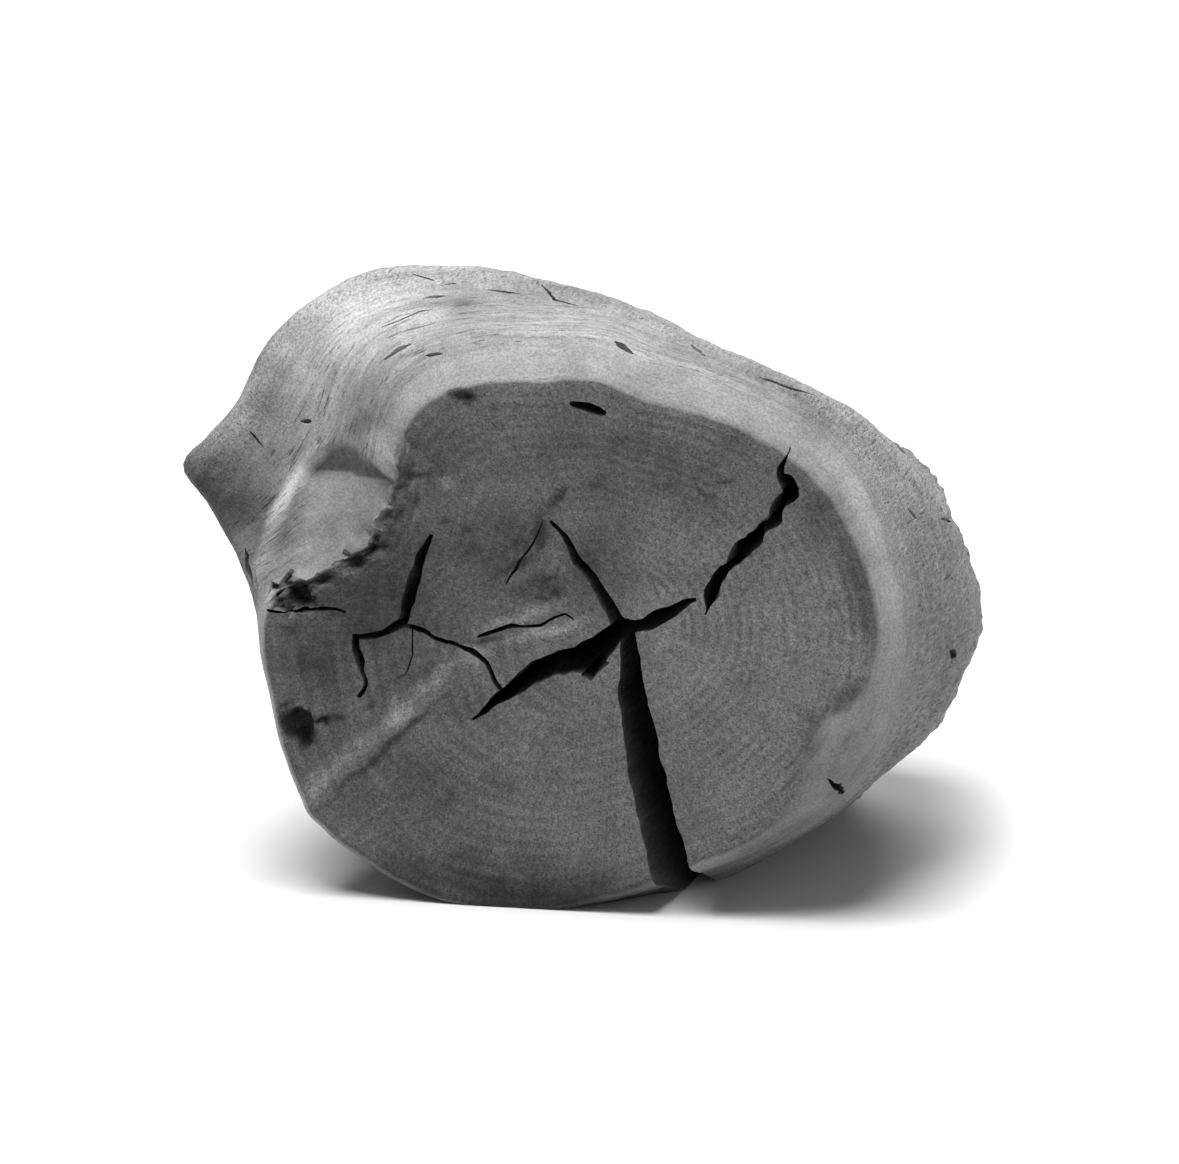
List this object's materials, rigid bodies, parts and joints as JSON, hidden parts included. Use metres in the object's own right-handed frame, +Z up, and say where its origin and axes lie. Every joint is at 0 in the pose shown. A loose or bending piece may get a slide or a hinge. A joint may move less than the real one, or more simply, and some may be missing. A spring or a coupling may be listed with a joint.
{
  "type": "charcoal lump",
  "caption": "Lump of hardwood charcoal from a short branch, lying on its side, with a sawn front end split by a star of drying cracks and a snapped back end.",
  "frame": {"origin": "on the surface that the lump rests on, under the middle of its bounding box", "axes": "+Z up, +Y from the sawn front end along the branch to the snapped back end, +X to the right as seen from the front end"},
  "size_m": [0.0852, 0.0708, 0.0654],
  "materials": {
    "charcoal": "neutral black-grey charred wood, dull on the barrel with a faint graphite sheen, finely ringed and speckled on the sawn end"
  },
  "bodies": {
    "root": {"charcoal_lump": "charcoal"}
  },
  "joints": []
}
